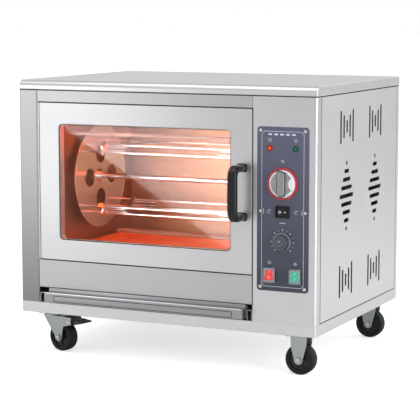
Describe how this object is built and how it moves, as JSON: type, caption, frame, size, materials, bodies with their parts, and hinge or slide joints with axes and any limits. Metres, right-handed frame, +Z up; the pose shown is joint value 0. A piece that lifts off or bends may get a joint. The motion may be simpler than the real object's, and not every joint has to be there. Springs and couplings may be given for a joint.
{
  "type": "rotisserie oven",
  "caption": "Wheeled rotisserie oven: sheet-metal cabinet on casters, glazed hinged door, turning carousel of spits, sliding drip tray and a control column with knobs and rocker switches.",
  "frame": {"origin": "on the floor, in the middle of the overall length and of the overall depth from the handle to the cable gland", "axes": "+X to the right seen from the front, +Y to the back, +Z up"},
  "size_m": [0.7, 0.584, 0.601],
  "materials": {
    "stainless_shell": "satin",
    "galvanised_sheet": "satin",
    "chamber_lining": "bright",
    "mineral_wool": "fibrous",
    "heater_sheath": "heat darkened",
    "white_ceramic": "glazed",
    "lamp_glass": "clear",
    "door_glass": "clear",
    "silicone": "matte",
    "panel_blue_grey": "satin",
    "bright_steel": "polished",
    "gear_steel": "machined",
    "bronze": "machined",
    "instrument_case": "satin",
    "red_lens": "translucent",
    "green_lens": "translucent",
    "red_plastic": "translucent",
    "green_plastic": "translucent",
    "black_plastic": "gloss",
    "white_plastic": "gloss",
    "black_matte_plastic": "matte",
    "beige_plastic": "matte",
    "zinc_plate": "zinc plated",
    "black_tyre": "satin"
  },
  "bodies": {
    "cabinet": {"base_pan": "stainless_shell", "left_side_panel": "stainless_shell", "control_column": "stainless_shell", "right_side_panel": "stainless_shell", "back_panel": "stainless_shell", "top_cover": "stainless_shell", "front_header": "stainless_shell", "lower_fascia": "stainless_shell", "door_frame": "galvanised_sheet", "chamber_floor": "chamber_lining", "chamber_roof": "chamber_lining", "chamber_back": "chamber_lining", "chamber_side_walls": "chamber_lining", "insulation_slabs": "mineral_wool", "tray_runners": "galvanised_sheet", "heater_elements": "heater_sheath", "lamp_holder": "white_ceramic", "lamp_glass": "lamp_glass", "control_overlay": "panel_blue_grey", "screws": "bright_steel", "thermostat_body": "instrument_case", "timer_body": "instrument_case", "red_indicator": "red_lens", "green_indicator": "green_lens", "switch_housings": "black_plastic", "gear_motor": "galvanised_sheet", "shaft_bearings": "bronze", "terminal_block": "beige_plastic", "cable_gland": "black_matte_plastic", "magnet_catch": "black_matte_plastic", "hinge_cabinet_leaf": "galvanised_sheet", "swivel_plates": "zinc_plate", "right_caster_forks": "zinc_plate"},
    "door": {"door_panel": "stainless_shell", "door_liner": "galvanised_sheet", "door_glass": "door_glass", "door_gasket": "silicone", "hinge_door_leaf": "galvanised_sheet", "door_handle": "black_plastic"},
    "tray": {"drip_tray": "galvanised_sheet", "tray_front": "stainless_shell"},
    "carousel": {"carousel_shaft": "bright_steel", "carousel_discs": "bright_steel", "drive_gear": "gear_steel", "spits": "bright_steel", "meat_forks": "bright_steel"},
    "pinion": {"motor_pinion": "gear_steel"},
    "thermostat_dial": {"thermostat_knob": "white_plastic"},
    "timer_dial": {"timer_knob": "black_plastic"},
    "red_switch": {"red_rocker": "red_plastic"},
    "green_switch": {"green_rocker": "green_plastic"},
    "black_switch": {"black_rocker": "black_plastic"},
    "front_swivel": {"left_front_fork": "zinc_plate"},
    "rear_swivel": {"left_rear_fork": "zinc_plate"},
    "front_left_wheel": {"left_front_wheel": "black_tyre"},
    "rear_left_wheel": {"left_rear_wheel": "black_tyre"},
    "front_right_wheel": {"right_front_wheel": "black_tyre"},
    "rear_right_wheel": {"right_rear_wheel": "black_tyre"},
    "front_brake": {"left_front_pedal": "black_matte_plastic"},
    "rear_brake": {"left_rear_pedal": "black_matte_plastic"}
  },
  "joints": [
    {"name": "door_hinge", "type": "hinge", "parent": "cabinet", "child": "door", "pos_m": [-0.3025, -0.237, 0.381], "axis": [0, 0, -1], "range_deg": [0, 115]},
    {"name": "tray_slide", "type": "slide", "parent": "cabinet", "child": "tray", "axis": [0, -1, 0], "range_m": [0, 0.3]},
    {"name": "carousel_spin", "type": "hinge", "parent": "cabinet", "child": "carousel", "pos_m": [0, -0.021, 0.374], "axis": [1, 0, 0], "continuous": true},
    {"name": "pinion_spin", "type": "hinge", "parent": "cabinet", "child": "pinion", "pos_m": [0.2136, 0.043, 0.374], "axis": [1, 0, 0], "continuous": true},
    {"name": "thermostat_turn", "type": "hinge", "parent": "cabinet", "child": "thermostat_dial", "pos_m": [0.276, -0.238, 0.402], "axis": [0, 1, 0], "range_deg": [0, 300]},
    {"name": "timer_turn", "type": "hinge", "parent": "cabinet", "child": "timer_dial", "pos_m": [0.276, -0.238, 0.282], "axis": [0, 1, 0], "range_deg": [0, 280]},
    {"name": "red_rocker_tip", "type": "hinge", "parent": "cabinet", "child": "red_switch", "pos_m": [0.2475, -0.2345, 0.212], "axis": [1, 0, 0], "range_deg": [0, 18]},
    {"name": "green_rocker_tip", "type": "hinge", "parent": "cabinet", "child": "green_switch", "pos_m": [0.3045, -0.2345, 0.212], "axis": [1, 0, 0], "range_deg": [0, 18]},
    {"name": "black_rocker_tip", "type": "hinge", "parent": "cabinet", "child": "black_switch", "pos_m": [0.276, -0.2345, 0.344], "axis": [0, 0, -1], "range_deg": [0, 18]},
    {"name": "front_caster_swivel", "type": "hinge", "parent": "cabinet", "child": "front_swivel", "pos_m": [-0.292, -0.194, 0.08], "axis": [0, 0, 1], "continuous": true},
    {"name": "front_left_wheel_spin", "type": "hinge", "parent": "front_swivel", "child": "front_left_wheel", "pos_m": [-0.26483, -0.20077, 0.0325], "axis": [0.2419, 0.9703, 0], "continuous": true},
    {"name": "front_brake_press", "type": "hinge", "parent": "front_swivel", "child": "front_brake", "pos_m": [-0.23572, -0.20803, 0.0685], "axis": [0.2419, 0.9703, 0], "range_deg": [0, 8]},
    {"name": "front_right_wheel_spin", "type": "hinge", "parent": "cabinet", "child": "front_right_wheel", "pos_m": [0.302, -0.194, 0.0325], "axis": [0, 1, 0], "continuous": true},
    {"name": "rear_caster_swivel", "type": "hinge", "parent": "cabinet", "child": "rear_swivel", "pos_m": [-0.292, 0.23, 0.08], "axis": [0, 0, 1], "continuous": true},
    {"name": "rear_left_wheel_spin", "type": "hinge", "parent": "rear_swivel", "child": "rear_left_wheel", "pos_m": [-0.26569, 0.23958, 0.0325], "axis": [-0.342, 0.9397, 0], "continuous": true},
    {"name": "rear_brake_press", "type": "hinge", "parent": "rear_swivel", "child": "rear_brake", "pos_m": [-0.2375, 0.24984, 0.0685], "axis": [-0.342, 0.9397, 0], "range_deg": [0, 8]},
    {"name": "rear_right_wheel_spin", "type": "hinge", "parent": "cabinet", "child": "rear_right_wheel", "pos_m": [0.302, 0.23, 0.0325], "axis": [0, 1, 0], "continuous": true}
  ],
  "couplings": [
    {"joint": "pinion_spin", "follows": "carousel_spin", "ratio": -3}
  ]
}
